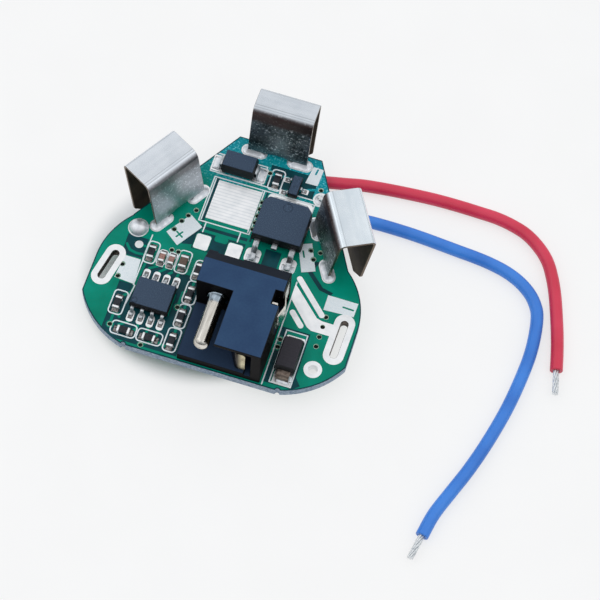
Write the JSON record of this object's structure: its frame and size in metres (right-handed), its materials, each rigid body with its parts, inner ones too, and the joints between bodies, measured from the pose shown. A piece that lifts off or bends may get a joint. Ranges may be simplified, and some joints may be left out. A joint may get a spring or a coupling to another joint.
{
  "type": "battery management board",
  "caption": "Shaped green battery management board with an open-sided power jack, folded metal contact clips, surface-mount parts and a soldered red and blue wire.",
  "frame": {"origin": "on the board's flat underside, on the middle line of the rear clip, 15.66 mm behind the straight front edge", "axes": "+X along the straight front edge to the side the wires leave from; +Y from the jack's mouth to the rear clip; +Z out of the component side"},
  "size_m": [0.0589, 0.0503, 0.0107],
  "materials": {
    "solder_mask": "glossy green solder mask over copper and glass laminate",
    "tinned_copper": "hot tinned copper, slightly uneven",
    "solder": "smooth bright solder",
    "navy_plastic": "fine satin moulding",
    "nickel": "polished nickel plating",
    "contact_brass": "pale gold plated spring brass",
    "tinned_steel": "mottled tin plate with faint handling marks",
    "epoxy": "moulded epoxy",
    "tinned_lead": "tinned lead frame",
    "resistor_glaze": "glazed resistor top",
    "capacitor_ceramic": "fired ceramic",
    "red_insulation": "smooth red insulation",
    "blue_insulation": "smooth blue insulation",
    "tinned_wire": "tinned stranded conductor"
  },
  "bodies": {
    "root": {"circuit_board": "solder_mask", "surface_pads": "tinned_copper", "solder_joints": "solder", "solder_dome": "solder", "jack_housing": "navy_plastic", "jack_pin": "nickel", "jack_pin_terminal": "tinned_steel", "jack_spring_contact": "contact_brass", "jack_switch_contact": "nickel", "rear_clip": "tinned_steel", "left_clip": "tinned_steel", "right_clip": "tinned_steel", "controller_body": "epoxy", "controller_leads": "tinned_lead", "transistor_body": "epoxy", "transistor_tab": "tinned_lead", "transistor_leads": "tinned_lead", "switch_transistor_body": "epoxy", "switch_transistor_leads": "tinned_lead", "front_diode_body": "epoxy", "front_diode_leads": "tinned_lead", "rear_diode_body": "epoxy", "rear_diode_leads": "tinned_lead", "chip_resistor_bodies": "resistor_glaze", "chip_resistor_caps": "tinned_copper", "chip_capacitor_bodies": "capacitor_ceramic", "chip_capacitor_caps": "tinned_copper", "red_wire_jacket": "red_insulation", "red_wire_core": "tinned_wire", "blue_wire_jacket": "blue_insulation", "blue_wire_core": "tinned_wire"}
  },
  "joints": []
}
